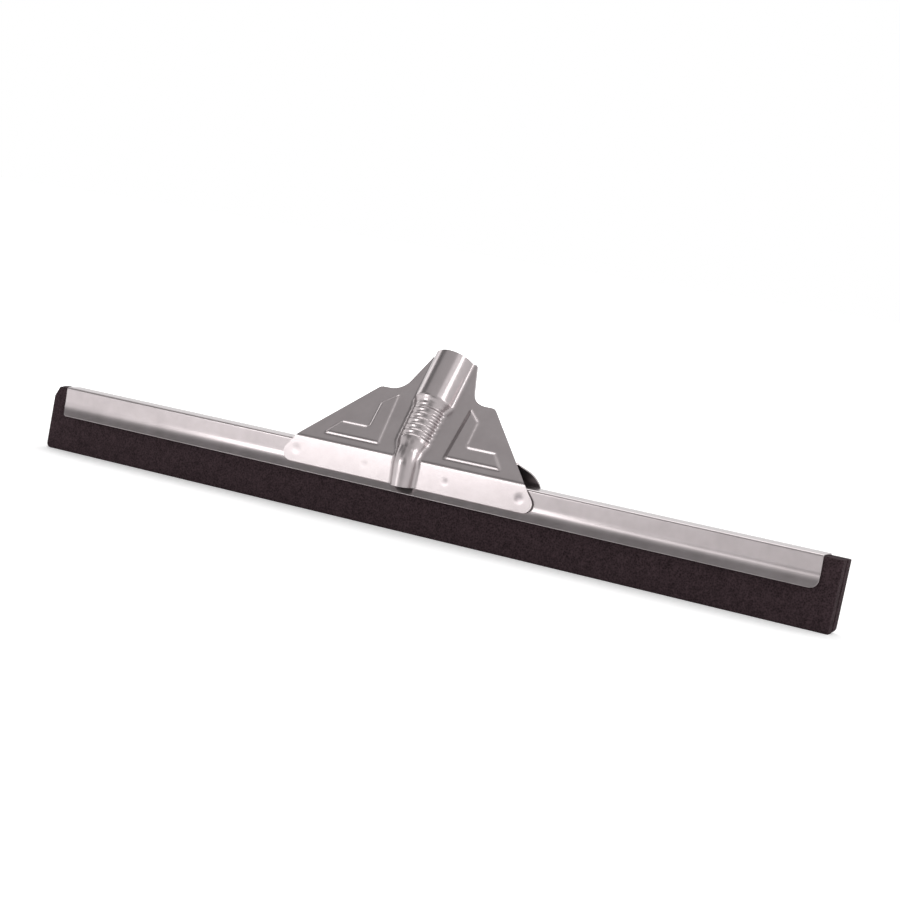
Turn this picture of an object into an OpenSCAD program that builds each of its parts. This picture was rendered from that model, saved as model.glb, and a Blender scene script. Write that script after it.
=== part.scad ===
// Floor squeegee: a folded steel rail holds two strips of cellular rubber side by side,
// and two pressed steel sheets, spot welded to the rail and to each other, form the handle socket.
// X runs along the blade, Y points to the back, Z points up.
// The origin is the middle of the wiping edge, on the joint between the two rubber strips.

/* [Rubber blade] */
// Length of the rubber strips
blade_length = 550; // [400:5:900]
// Height of the rubber strips, from the wiping edge to the roof of the rail
strip_height = 41.7; // [34:0.1:60]
// Thickness of one rubber strip
strip_thickness = 6.15; // [4:0.05:9]
// How far the strips reach past each end of the rail
strip_overhang = 10; // [4:0.5:20]
// Radius of the rubber edge at the back of the wiping face
rear_edge_radius = 3.5; // [0.5:0.1:3.9]
// Radius of the rubber edge at the front of the wiping face
front_edge_radius = 0.8; // [0.2:0.1:3]
// How far the top of the slanted right-hand cut stands out past the bottom of it
end_cut_slant = 2.4; // [0:0.1:6]
// Width of the corner that is cut off the front strip at the top left
corner_cut_width = 4; // [0.5:0.1:8]
// Height of the corner that is cut off the front strip at the top left
corner_cut_height = 7.5; // [0.5:0.1:15]

/* [Rail] */
// Thickness of the rail's steel sheet
rail_sheet = 0.8; // [0.6:0.05:1.5]
// Height of the rail
rail_height = 18.8; // [18:0.1:26]
// Height of the flared lip along the bottom of the rail
lip_height = 6; // [5:0.1:7]
// Angle that the lip flares away from the rubber
lip_flare = 27; // [5:1:40]
// Radius of the bend between the rail's wall and its lip
lip_bend = 8; // [3:0.5:12]
// Inside radius of the bends along the top of the rail
rail_top_bend = 0.5; // [0.2:0.1:2]
// Radius of the rounded lower corners at the rail's ends
rail_corner_radius = 4.5; // [1:0.1:8]

/* [Bracket sheets] */
// Thickness of the two pressed sheets of the bracket
bracket_sheet = 0.9; // [0.6:0.05:1.5]
// Angle that the bracket and the socket lean back
lean_angle = 35; // [20:1:50]
// Height of the front and rear folds above the rail
fold_rise = 2.2; // [1:0.1:6]
// Inside radius of the folds
fold_bend = 1.5; // [0.5:0.1:3]
// How far the flanges reach down the rail's walls
flange_drop = 14.3; // [12:0.1:17]
// Half the width of the bracket at its folds
wing_foot = 80.4; // [76:0.1:110]
// How far the front flange is wider than the folds on each side
flange_spread = 8.9; // [6:0.1:14]
// Depth below the rail's top at which the flanges are widest
flange_belly = 9; // [7:0.1:9.5]
// Half the width of the flanges' bottom edge, past that of the folds
flange_bottom_spread = 4.1; // [2:0.1:5]
// Radius of the flanges' corners
flange_corner = 5; // [1:0.1:6]

/* [Rear sheet] */
// Height, along the lean, of the ridge where the rear sheet meets the front sheet
ridge_height = 12.8; // [9:0.1:16]
// How far the rear flange is wider than the folds on each side
rear_spread = 6.4; // [5:0.1:12]
// Radius of the rounded shoulders at the ends of the rear sheet
rear_shoulder = 12; // [4:0.5:14]
// Height of the corner under each of those shoulders, above the rail
rear_shoulder_height = 8; // [5:0.1:9]

/* [Wings] */
// Distance of the wings' shoulders from the middle
shoulder_reach = 40.5; // [38:0.1:60]
// Height of the wings' shoulders along the lean
shoulder_height = 45.3; // [44.5:0.1:52]
// Radius of the wings' shoulders
shoulder_radius = 4; // [1:0.1:6]
// Distance from the socket's wall to the hollow between each shoulder and the neck
hollow_gap = 12.2; // [10:0.1:14]
// Radius of that hollow
hollow_radius = 12; // [4:0.5:13]
// Width of the sheet beside the socket's wall at the mouth
neck_margin = 2.6; // [1.5:0.1:5]

/* [Embossed panels] */
// Distance from the socket's wall to the panels' inner lower corners
panel_gap = 9; // [5:0.1:12]
// Distance from the middle to the panels' outer lower corners
panel_outer = 64; // [58:0.1:68]
// Height of the panels' lower edge above the fold
panel_bottom = 4.2; // [3:0.1:7]
// Height of the panels' foot above the fold
panel_foot = 16; // [12:0.1:16.5]
// Length that the panels' foot loses towards its top
panel_taper = 9.5; // [6:0.1:12]
// Distance from the middle to the step between the panels' foot and their upright
panel_step = 35.3; // [32:0.1:40]
// Height of the top of that step
panel_step_top = 33.7; // [25:0.1:37]
// Height of the panels' tips
panel_tip = 43.2; // [40:0.1:44]
// Distance that the panels' tips stand away from the socket, past their inner lower corners
panel_tip_shift = 2.6; // [1:0.1:6]
// How far the panels stand out of the sheet
panel_rise = 1.3; // [0.4:0.1:2]

/* [Socket] */
// Diameter of the handle that the socket takes
handle_diameter = 24; // [22:0.5:26]
// Radial clearance round the handle
handle_clearance = 0.15; // [0.05:0.05:0.45]
// Height of the socket's mouth above the fold, along the lean
socket_mouth = 72.5; // [66:0.5:100]
// Height of the bottom of the plain bore above the fold, along the lean
bore_floor = 39.5; // [38:0.1:50]
// Length of the shoulder between the bore and the thread
bore_shoulder = 4.4; // [2:0.1:6]
// Inside radius of the socket in the thread's upper grooves
thread_radius = 8.9; // [7.9:0.1:10]
// Distance from one thread groove to the next
thread_pitch = 4.05; // [3:0.05:4.8]
// Number of thread grooves
thread_turns = 6; // [3:1:6]
// Height of the thread's ridges above its grooves
thread_rise = 0.9; // [0.2:0.1:1.2]
// How much smaller the socket's radius is in the thread's lowest groove
thread_radius_drop = 0.5; // [0:0.1:0.8]
// Inside radius of the drain channel below the fold
drain_radius = 7.3; // [5:0.1:8]
// Radius, along its middle line, of the elbow between the socket and the drain channel
elbow_radius = 12; // [10:0.5:20]
// How much wider the elbow is inside than the socket and the drain channel that run into it
elbow_swell = 0.1; // [0.05:0.05:0.3]

/* [Spot welds] */
// Diameter of a weld nugget
nugget_diameter = 5; // [3:0.1:6]
// Share of each sheet's thickness that a nugget reaches into
nugget_depth = 0.5; // [0.3:0.05:0.6]
// Gap round a nugget
nugget_clearance = 0.03; // [0.01:0.01:0.1]
// Diameter of the dent that the electrode leaves
dent_diameter = 6; // [4:0.1:8]
// Depth of that dent
dent_depth = 0.2; // [0.05:0.05:0.2]
// Distance of the inner flange welds from the middle
inner_weld = 28.5; // [20:0.5:60]
// Distance of the outer flange welds from the middle
outer_weld = 78.7; // [66:0.1:79]
// Depth of the flange welds below the rail's top
weld_drop = 6.3; // [5:0.1:7]
// Distance of the neck's welds from the socket's wall
neck_weld_gap = 6; // [3.5:0.1:6.5]
// Height of the neck's welds along the lean
neck_weld_height = 49.5; // [48:0.1:52]
// Distance of the wings' outer welds from the middle
wing_weld_reach = 58.5; // [54:0.1:59]
// Height of the wings' outer welds above the panels' foot
wing_weld_gap = 3.5; // [3:0.1:4]

/* [Hidden] */

// Facets of a full circle
$fn = 64;
// Facets of each rounded corner
arc_steps = 8;
// Points in each turn of the thread's wave
wave_steps = 6;
// How far a cutting shape reaches past what it cuts
beyond = 1;
// Height of the overlap between the outlines above and below a fold
fold_overlap = 2;
// How far the hollows of the socket and the drain channel reach into the elbow's
elbow_overlap = 0.5;
// Radius of the corners of the socket's neck
neck_corner = 1;
// Radii of the embossed panels' outer and inner corners
panel_corner = 1.5;
// Colours of the parts
steel_colour = "#c9c4c4";
weld_colour = "#a9a3a3";
rubber_colour = "#2f292a";

rail_width = 2 * (strip_thickness + rail_sheet);
rail_length = blade_length - 2 * strip_overhang;
rail_top = strip_height + rail_sheet;
rail_foot = rail_top - rail_height;
wall_foot = rail_foot + lip_height;
lip_reach = lip_height * tan(lip_flare);
fold_height = rail_top + fold_rise;
flange_foot = rail_top - flange_drop;
weld_height = rail_top - weld_drop;
ridge_y = -rail_width / 2 + ridge_height * sin(lean_angle);
ridge_z = fold_height + ridge_height * cos(lean_angle);
mouth_y = -rail_width / 2 + socket_mouth * sin(lean_angle);
mouth_z = fold_height + socket_mouth * cos(lean_angle);
bore_radius = handle_diameter / 2 + handle_clearance;
socket_wall = bore_radius + bracket_sheet;
thread_top = bore_floor - bore_shoulder;
thread_bottom = thread_top - thread_pitch * thread_turns;
// Distance from the fold to each end of the elbow
elbow_reach = elbow_radius * tan(lean_angle / 2);
// Distance that the wings draw in for each millimetre of height along the lean
wing_draw = (wing_foot - shoulder_reach) / shoulder_height;
// Longer than any part of the model
far = 2 * blade_length;

function xy(p) = [p[0], p[1]];
function unit(v) = v / norm(v);
function left_of(v) = [-v[1], v[0]];
function turned(v, a) = [v[0] * cos(a) - v[1] * sin(a), v[0] * sin(a) + v[1] * cos(a)];

// Corner p between its neighbours a and b: a point, or an arc where p[2] gives its radius
function corner(a, p, b) =
    p[2] == 0
    ? [xy(p)]
    : let (to_a = unit(xy(a) - xy(p)),
           to_b = unit(xy(b) - xy(p)),
           half = acos(to_a * to_b) / 2,
           centre = xy(p) + unit(to_a + to_b) * p[2] / sin(half),
           spoke = xy(p) + to_a * p[2] / tan(half) - centre,
           sweep = (180 - 2 * half) * (cross(to_a, to_b) < 0 ? 1 : -1))
      [for (i = [0:arc_steps]) centre + turned(spoke, sweep * i / arc_steps)];

// Closed outline of points [x, y, radius] with its corners rounded
function rounded(points) =
    let (n = len(points))
    [for (i = [0:n - 1]) each corner(points[(i + n - 1) % n], points[i], points[(i + 1) % n])];

// Right half of an outline, joined to its own mirror image
function symmetric(half) =
    concat(half, [for (i = [len(half) - 1:-1:0]) [-half[i][0], half[i][1], half[i][2]]]);

// Point p between its neighbours a and b, moved to the left of the way from a to b
function shifted(a, p, b, by) =
    let (before = left_of(unit(xy(p) - xy(a))),
         after = left_of(unit(xy(b) - xy(p))),
         radius = p[2] == 0 ? 0 : max(0, p[2] - by * sign(cross(before, after))),
         place = xy(p) + by * (before + after) / (1 + before * after))
    [place[0], place[1], radius];

// Anticlockwise outline drawn in by the given distance
function inset(points, by) =
    let (n = len(points))
    [for (i = [0:n - 1]) shifted(points[(i + n - 1) % n], points[i], points[(i + 1) % n], by)];

// Section of a sheet that lies to the left of a path of points [y, z, radius of the path's bend]
function folded_sheet(path, sheet) =
    let (last = len(path) - 1,
         first_point = 2 * path[0] - path[1],
         last_point = 2 * path[last] - path[last - 1])
    rounded(concat(path, [for (i = [last:-1:0])
        let (before = i == 0 ? first_point : path[i - 1],
             after = i == last ? last_point : path[i + 1])
        shifted(before, path[i], after, sheet)]));

// Draws a Y-Z outline along the given length, centred on X = 0
module along_x(length)
    rotate([90, 0, 90])
    linear_extrude(length, center = true)
    children();

// Draws an X-Z outline right through the model from front to back
module through_y()
    rotate([90, 0, 0])
    linear_extrude(far, center = true)
    children();

// Frame of the seam between the two bracket sheets: zero at the front fold, Z up the lean, Y back
module on_seam()
    translate([0, -rail_width / 2, fold_height])
    rotate([-lean_angle, 0, 0])
    children();

// Draws an outline in the seam plane as a slab from y0 to y1 behind it
module seam_slab(y0, y1)
    on_seam()
    translate([0, y1, 0])
    rotate([90, 0, 0])
    linear_extrude(y1 - y0)
    children();

// Both halves of what is drawn on the right
module mirrored_pair() {
    children();
    mirror([1, 0, 0]) children();
}

// Outline of the bracket in the seam plane, from the given height up
module wing_outline(from)
    polygon(rounded(symmetric([
        [wing_foot - from * wing_draw, from, 0],
        [shoulder_reach, shoulder_height, shoulder_radius],
        [socket_wall + hollow_gap, shoulder_height, hollow_radius],
        [socket_wall + neck_margin, socket_mouth, neck_corner]])));

// Outline of the front flange, seen from the front
module front_flange_outline()
    polygon(rounded(symmetric([
        [wing_foot + flange_bottom_spread, flange_foot, flange_corner],
        [wing_foot + flange_spread, rail_top - flange_belly, flange_corner],
        [wing_foot, fold_height, 0],
        [wing_foot, fold_height + fold_overlap, 0]])));

// Outline of the rear sheet below its ridge, seen from the front
module rear_flange_outline()
    polygon(rounded(symmetric([
        [wing_foot + flange_bottom_spread, flange_foot, flange_corner],
        [wing_foot + rear_spread, rail_top - flange_belly, flange_corner],
        [wing_foot + 1, rail_top + rear_shoulder_height, rear_shoulder],
        [wing_foot - ridge_height * wing_draw, ridge_z, 0]])));

// Corners of the right-hand embossed panel in the seam plane
panel_corners = [
    [socket_wall + panel_gap, panel_bottom, panel_corner],
    [panel_outer, panel_bottom, panel_corner],
    [panel_outer - panel_taper, panel_foot, panel_corner],
    [panel_step, panel_foot, panel_corner],
    [panel_step, panel_step_top, panel_corner],
    [socket_wall + panel_gap + panel_tip_shift, panel_tip, panel_corner]];

// Radius of the thread's wave at a height, from its taper and its ridges
function thread_wave(height) =
    let (turn = (height - thread_bottom) / thread_pitch,
         groove = thread_radius - thread_radius_drop * (1 - turn / thread_turns))
    groove + thread_rise * (1 + cos(360 * turn)) / 2;

// Distance from the fold to the ends of the socket and of the drain channel. Their hollows (grow = 0)
// reach into the elbow's, so that no skin is left between them.
function duct_end(grow) = elbow_reach - (grow == 0 ? elbow_overlap : 0);

// Inner wall of the socket as [radius, height] from the elbow to the mouth, grown by the sheet
function socket_wall_points(grow) = concat(
    [[drain_radius + grow, duct_end(grow)], [drain_radius + grow, elbow_reach + elbow_overlap]],
    [for (i = [0:thread_turns * wave_steps])
        let (height = thread_bottom + thread_pitch * i / wave_steps)
        [thread_wave(height) + grow, height]],
    [[bore_radius + grow, bore_floor]]);

// Solid that fills the leaning socket up to its inner wall (grow = 0) or its outer wall
module socket_core(grow, top)
    on_seam()
    rotate([0, 0, 90])
    rotate_extrude()
    polygon(concat(
        [[0, duct_end(grow)]],
        socket_wall_points(grow),
        [[bore_radius + grow, top], [0, top]]));

// Solid that fills the elbow between the socket and the drain channel in the same way
module elbow_core(grow)
    translate([0, elbow_radius - rail_width / 2, fold_height - elbow_reach])
    rotate([90, 0, -90])
    rotate_extrude(angle = lean_angle)
    translate([elbow_radius, 0])
    circle(drain_radius + (grow == 0 ? elbow_swell : grow));

// Solid that fills the upright drain channel in the same way
module drain_core(grow, foot)
    translate([0, -rail_width / 2, foot])
    rotate([0, 0, 90])
    cylinder(r = drain_radius + grow, h = fold_height - duct_end(grow) - foot);

// Socket, elbow and drain channel together, up to their inner or outer walls
module duct(grow, foot, top) {
    socket_core(grow, top);
    elbow_core(grow);
    drain_core(grow, foot);
}

// Path of the bracket's back face, from the lip's foot up the front of the rail to the mouth
front_path = [
    [-rail_width / 2 - lip_reach, rail_foot, 0],
    [-rail_width / 2, wall_foot, lip_bend],
    [-rail_width / 2, fold_height, fold_bend],
    [mouth_y, mouth_z, 0]];

// Path of the rear sheet's front face, from the mouth over the ridge and down the back of the rail
rear_path = [
    [mouth_y, mouth_z, 0],
    [ridge_y, ridge_z, fold_bend + bracket_sheet],
    [rail_width / 2, fold_height, fold_bend],
    [rail_width / 2, wall_foot, lip_bend],
    [rail_width / 2 + lip_reach, rail_foot, 0]];

// Everything in front of the front path
module front_space()
    along_x(far)
    polygon(rounded(concat(front_path, [[mouth_y, far, 0], [-far, far, 0], [-far, rail_foot, 0]])));

// Everything behind the rear path
module rear_space()
    along_x(far)
    polygon(rounded(concat(rear_path, [[far, rail_foot, 0], [far, far, 0], [mouth_y, far, 0]])));

module front_sheet()
    intersection() {
        along_x(far) polygon(folded_sheet(front_path, bracket_sheet));
        union() {
            through_y() front_flange_outline();
            seam_slab(-far / 2, beyond) wing_outline(-fold_overlap);
        }
    }

module rear_sheet()
    intersection() {
        along_x(far) polygon(folded_sheet(rear_path, bracket_sheet));
        union() {
            through_y() rear_flange_outline();
            seam_slab(-beyond, far / 2) wing_outline(ridge_height);
        }
    }

// Nuggets between the flanges and the rail, in front (side = -1) or behind, with a gap round them
module flange_nuggets(side, gap)
    mirrored_pair()
    for (x = [inner_weld, outer_weld])
        translate([x, side * (rail_width / 2 + nugget_depth * bracket_sheet), weld_height])
        rotate([side * 90, 0, 0])
        cylinder(d = nugget_diameter + 2 * gap, h = nugget_depth * (bracket_sheet + rail_sheet));

// Dents over those nuggets
module flange_dents(side)
    mirrored_pair()
    for (x = [inner_weld, outer_weld])
        translate([x, side * (rail_width / 2 + bracket_sheet - dent_depth), weld_height])
        rotate([side * -90, 0, 0])
        cylinder(d = dent_diameter, h = beyond);

// Places of the nuggets between the two sheets, in the seam plane
module at_wing_welds()
    on_seam()
    mirrored_pair() {
        translate([socket_wall + neck_weld_gap, 0, neck_weld_height]) children();
        translate([wing_weld_reach, 0, panel_foot + wing_weld_gap]) children();
    }

module wing_nuggets(gap)
    at_wing_welds()
    rotate([90, 0, 0])
    cylinder(d = nugget_diameter + 2 * gap, h = 2 * nugget_depth * bracket_sheet, center = true);

module wing_dents()
    at_wing_welds()
    translate([0, bracket_sheet - dent_depth, 0])
    rotate([-90, 0, 0])
    cylinder(d = dent_diameter, h = beyond);

module front_bracket()
    color(steel_colour)
    difference() {
        union() {
            front_sheet();
            mirrored_pair()
                seam_slab(-bracket_sheet - panel_rise, 0)
                polygon(rounded(panel_corners));
            intersection() {
                duct(bracket_sheet, flange_foot, socket_mouth);
                front_space();
            }
        }
        mirrored_pair()
            seam_slab(-panel_rise, beyond)
            polygon(rounded(inset(panel_corners, bracket_sheet)));
        duct(0, flange_foot - beyond, socket_mouth + beyond);
        flange_nuggets(-1, nugget_clearance);
        flange_dents(-1);
        wing_nuggets(nugget_clearance);
    }

module rear_bracket()
    color(steel_colour)
    difference() {
        union() {
            rear_sheet();
            intersection() {
                socket_core(bracket_sheet, socket_mouth);
                rear_space();
            }
        }
        socket_core(0, socket_mouth + beyond);
        flange_nuggets(1, nugget_clearance);
        flange_dents(1);
        wing_nuggets(nugget_clearance);
        wing_dents();
    }

module blade_rail()
    color(steel_colour)
    difference() {
        intersection() {
            along_x(rail_length)
                polygon(folded_sheet([
                    [rail_width / 2 + lip_reach, rail_foot, 0],
                    [rail_width / 2, wall_foot, lip_bend],
                    [rail_width / 2, rail_top, rail_top_bend + rail_sheet],
                    [-rail_width / 2, rail_top, rail_top_bend + rail_sheet],
                    [-rail_width / 2, wall_foot, lip_bend],
                    [-rail_width / 2 - lip_reach, rail_foot, 0]], rail_sheet));
            through_y()
                polygon(rounded(symmetric([
                    [rail_length / 2, rail_foot, rail_corner_radius],
                    [rail_length / 2, rail_top + beyond, 0]])));
        }
        flange_nuggets(-1, nugget_clearance);
        flange_nuggets(1, nugget_clearance);
    }

// Outline of a strip seen from the front, with its slanted right end and its cut left corner
module strip_outline(cut_width, cut_height)
    polygon([
        [-blade_length / 2, 0],
        [(blade_length - end_cut_slant) / 2, 0],
        [(blade_length + end_cut_slant) / 2, strip_height],
        [-blade_length / 2 + cut_width, strip_height],
        [-blade_length / 2, strip_height - cut_height]]);

module front_rubber_strip()
    color(rubber_colour)
    intersection() {
        along_x(far)
            polygon(rounded([
                [0, 0, 0],
                [0, strip_height, 0],
                [-strip_thickness, strip_height, rail_top_bend + rail_sheet],
                [-strip_thickness, 0, front_edge_radius]]));
        through_y() strip_outline(corner_cut_width, corner_cut_height);
    }

module rear_rubber_strip()
    color(rubber_colour)
    intersection() {
        along_x(far)
            polygon(rounded([
                [0, 0, 0],
                [strip_thickness, 0, rear_edge_radius],
                [strip_thickness, strip_height, rail_top_bend + rail_sheet],
                [0, strip_height, 0]]));
        through_y() strip_outline(rail_sheet, rail_sheet);
    }

module front_flange_welds()
    color(weld_colour)
    flange_nuggets(-1, 0);

module rear_flange_welds()
    color(weld_colour)
    flange_nuggets(1, 0);

module wing_welds()
    color(weld_colour)
    wing_nuggets(0);

front_bracket();
rear_bracket();
blade_rail();
front_rubber_strip();
rear_rubber_strip();
front_flange_welds();
rear_flange_welds();
wing_welds();
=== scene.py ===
"""A floor squeegee head: two strips of moss rubber in a folded steel rail, and two pressed steel sheets
that carry the handle socket. Everything is in metres; X runs along the blade, Y to the back, Z up."""

import math

import bpy
import numpy as np
from mathutils import Matrix, Vector


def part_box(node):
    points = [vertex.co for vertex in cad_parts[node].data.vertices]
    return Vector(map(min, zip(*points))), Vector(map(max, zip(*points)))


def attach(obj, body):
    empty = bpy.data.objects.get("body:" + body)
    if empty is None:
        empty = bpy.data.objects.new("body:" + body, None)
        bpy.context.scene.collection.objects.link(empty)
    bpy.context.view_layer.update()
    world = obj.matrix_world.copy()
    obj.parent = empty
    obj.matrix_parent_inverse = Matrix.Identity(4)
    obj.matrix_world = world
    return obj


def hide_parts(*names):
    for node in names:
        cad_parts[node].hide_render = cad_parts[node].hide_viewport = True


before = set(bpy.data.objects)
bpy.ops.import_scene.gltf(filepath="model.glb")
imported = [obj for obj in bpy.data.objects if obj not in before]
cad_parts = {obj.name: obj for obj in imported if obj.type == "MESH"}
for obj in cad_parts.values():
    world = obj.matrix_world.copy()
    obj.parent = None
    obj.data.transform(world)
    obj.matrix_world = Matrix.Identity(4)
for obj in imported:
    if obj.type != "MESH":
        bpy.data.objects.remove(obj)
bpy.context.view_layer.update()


# Rubber strips
# Two bands of black moss rubber, sawn from a slab, stand side by side in the rail. The saw opens the
# cells, so the faces are matt and pitted; a corner at the left is snipped off by hand.

MM = 0.001
front_low, front_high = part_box("front_rubber_strip")
rear_low, rear_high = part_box("rear_rubber_strip")
BLADE_HALF = 275 * MM
STRIP_TOP = front_high.z
RIGHT_SLANT = 1.8 * MM
LEFT_SLANT = 2.1 * MM
LEFT_FOOT = 3 * MM
SAWN_EDGE = 0.5 * MM


def mesh_piece(name, points, faces, crease=35):
    """Mesh object from an array of points and a list of faces, smooth up to the crease in degrees."""
    mesh = bpy.data.meshes.new(name)
    mesh.from_pydata(points.reshape(-1, 3).tolist(), [], faces)
    mesh.validate()
    mesh.shade_smooth()
    mesh.set_sharp_from_angle(angle=math.radians(crease))
    piece = bpy.data.objects.new(name, mesh)
    bpy.context.scene.collection.objects.link(piece)
    return piece


def stacked(name, rings):
    """Closed skin over level rings rings[level, place], each anticlockwise from above: quads join each
    ring to the next, and a fan of triangles closes the bottom and the top at the ring's mean point."""
    levels, places = rings.shape[:2]
    here = np.arange(places)
    after = np.roll(here, -1)
    steps = np.arange(levels - 1)[:, None] * places
    walls = np.stack([steps + here, steps + after, steps + places + after, steps + places + here], axis=2)
    foot = levels * places
    last = (levels - 1) * places
    below = np.stack([np.full(places, foot), after, here], axis=1)
    above = np.stack([np.full(places, foot + 1), last + here, last + after], axis=1)
    points = np.concatenate([rings.reshape(-1, 3), rings[0].mean(axis=0)[None], rings[-1].mean(axis=0)[None]])
    return mesh_piece(name, points, walls.reshape(-1, 4).tolist() + below.tolist() + above.tolist())


def eased(distance, radius):
    """How far a rounded edge lies inside its corner at a distance from it: radius minus the height of a
    quarter circle, and nothing beyond the radius."""
    short = np.clip(radius - distance, 0, radius)
    return radius - np.sqrt(radius**2 - short**2)


def rubber_strip(name, front, back, front_edge, back_edge, snip_width, snip_height, reach, right_foot):
    """Strip as level rings from the floor to the rail's roof. Each ring is a long rectangle with rounded
    corners. With the height its left end slants in and then gives way along the snip, its right end
    slants out, and both draw in by a quarter circle at the foot."""
    edge_count, foot_count, side_count, snip_count, run_count = 5, 9, 24, 8, 140
    edge_levels = SAWN_EDGE * (1 - np.cos(np.linspace(0, math.pi / 2, edge_count)))
    foot_levels = back_edge * (1 - np.cos(np.linspace(0, math.pi / 2, foot_count)))
    side_levels = np.linspace(back_edge, STRIP_TOP - snip_height, side_count)
    snip_levels = np.linspace(STRIP_TOP - snip_height, STRIP_TOP - SAWN_EDGE, snip_count)
    level = np.unique(np.concatenate([foot_levels, side_levels, snip_levels, STRIP_TOP - edge_levels]))
    top = eased(STRIP_TOP - level, SAWN_EDGE)
    snip = snip_width * np.clip((level - STRIP_TOP + snip_height) / snip_height, 0, 1)
    left = -BLADE_HALF - LEFT_SLANT * (1 - level / STRIP_TOP) + snip + top + eased(level, LEFT_FOOT)
    right = reach - RIGHT_SLANT * (1 - level / STRIP_TOP) - top - eased(level, right_foot)
    near = front + eased(level, front_edge) + top
    far = back - eased(level, back_edge) - top

    run = np.linspace(0, 1, run_count)
    turn = np.linspace(0, math.pi / 2, edge_count)
    none = 0 * turn
    ring = np.concatenate([
        np.stack([run, 0 * run, 0 * run, 0 * run - 1]),
        np.stack([none + 1, none, np.sin(turn), -np.cos(turn)])[:, 1:],
        np.stack([none + 1, none + 1, np.cos(turn), np.sin(turn)])[:, :-1],
        np.stack([1 - run, 0 * run + 1, 0 * run, 0 * run + 1]),
        np.stack([none, none + 1, -np.sin(turn), np.cos(turn)])[:, 1:],
        np.stack([none, none, -np.cos(turn), -np.sin(turn)])[:, :-1]], axis=1)
    along, across, round_x, round_y = ring[:, None, :]
    left, right, near, far, level = (v[:, None] for v in (left, right, near, far, level))
    x = left + SAWN_EDGE + along * (right - left - 2 * SAWN_EDGE) + SAWN_EDGE * round_x
    y = near + SAWN_EDGE + across * (far - near - 2 * SAWN_EDGE) + SAWN_EDGE * round_y
    return stacked(name, np.stack([x, y, level + 0 * x], axis=2))


def linear(code):
    """Linear RGBA of an sRGB hex colour: each channel below 0.04045 divided by 12.92, else the 2.4 power."""
    parts = [int(code[i:i + 2], 16) / 255 for i in (1, 3, 5)]
    return [c / 12.92 if c <= 0.04045 else ((c + 0.055) / 1.055) ** 2.4 for c in parts] + [1.0]


def add(tree, kind, inputs=None, **settings):
    """Adds a node, sets it up, and gives each named or numbered input its value or its link."""
    made = tree.nodes.new(kind)
    for name, value in settings.items():
        setattr(made, name, value)
    for socket, value in (inputs or {}).items():
        if isinstance(value, bpy.types.NodeSocket):
            tree.links.new(value, made.inputs[socket])
        else:
            made.inputs[socket].default_value = value
    return made


def shading(name):
    """New material with an empty tree, and its output node."""
    material = bpy.data.materials.new(name)
    material.use_nodes = True
    material.node_tree.nodes.clear()
    return material, material.node_tree, add(material.node_tree, "ShaderNodeOutputMaterial")


def sawn_moss_rubber():
    """Closed-cell rubber, sawn: a dead black with a brown cast, opened cells whose rims are painted lighter
    and whose pits darker, a painted highlight and shade that follows their bumps, and mottles about 5 mm
    wide where they lie closer together. The cells are half a millimetre wide, too fine for the render, and
    are drawn about twice as coarse so that they show."""
    material, tree, output = shading("sawn moss rubber")
    place = add(tree, "ShaderNodeTexCoord").outputs["Object"]
    cells = add(tree, "ShaderNodeTexVoronoi", {"Vector": place, "Scale": 1 / (1.1 * MM)})
    pores = add(tree, "ShaderNodeTexNoise", {"Vector": place, "Scale": 1 / (1.8 * MM), "Detail": 4.0,
                                             "Roughness": 0.75})
    mottle = add(tree, "ShaderNodeTexNoise", {"Vector": place, "Scale": 1 / (5 * MM), "Detail": 2.0})
    shade = add(tree, "ShaderNodeMapRange", {"Value": mottle.outputs["Fac"], "From Min": 0.3,
                                             "From Max": 0.7, "To Min": -0.12, "To Max": 0.12})
    # Painted highlight and shade: the colour follows the relief, lighter on the cells' rims and darker in
    # their pits
    relief = add(tree, "ShaderNodeMath", {0: pores.outputs["Fac"], 1: cells.outputs["Distance"]},
                 operation="ADD")
    tone_with_painted_pit_shade = add(tree, "ShaderNodeMath", {0: relief.outputs["Value"], 1: shade.outputs["Result"]},
               operation="ADD")
    share = add(tree, "ShaderNodeMapRange", {"Value": tone_with_painted_pit_shade.outputs["Value"], "From Min": 0.55,
                                             "From Max": 1.35})
    colour = add(tree, "ShaderNodeValToRGB", {"Fac": share.outputs["Result"]})
    colour.color_ramp.elements[0].color = linear("#1d1316")
    colour.color_ramp.elements[1].color = linear("#3f3135")
    bump = add(tree, "ShaderNodeBump", {"Height": relief.outputs["Value"], "Strength": 0.9,
                                        "Distance": 0.25 * MM})
    surface = add(tree, "ShaderNodeBsdfPrincipled", {
        "Base Color": colour.outputs["Color"], "Normal": bump.outputs["Normal"], "Roughness": 0.92,
        "IOR": 1.5, "Specular IOR Level": 0.15})
    tree.links.new(surface.outputs["BSDF"], output.inputs["Surface"])
    return material


rubber = sawn_moss_rubber()
front_strip = rubber_strip("front_strip", front_low.y, front_high.y, front_edge=0.8 * MM,
                           back_edge=0.8 * MM, snip_width=3.2 * MM, snip_height=6.5 * MM,
                           reach=front_high.x, right_foot=SAWN_EDGE)
rear_strip = rubber_strip("rear_strip", rear_low.y, rear_high.y, front_edge=0.8 * MM,
                          back_edge=4.2 * MM, snip_width=0.8 * MM, snip_height=0.9 * MM,
                          reach=front_high.x + 0.5 * MM, right_foot=2.5 * MM)
for strip, solid in [(front_strip, "front_rubber_strip"), (rear_strip, "rear_rubber_strip")]:
    strip.data.materials.append(rubber)
    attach(strip, "root")
    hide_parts(solid)


# Rail
# One length of zinc-plated sheet steel, folded on a press brake into a channel with an open foot that
# grips the rubber. The lower lips flare away from it, and the corners at their ends are rounded.

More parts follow.
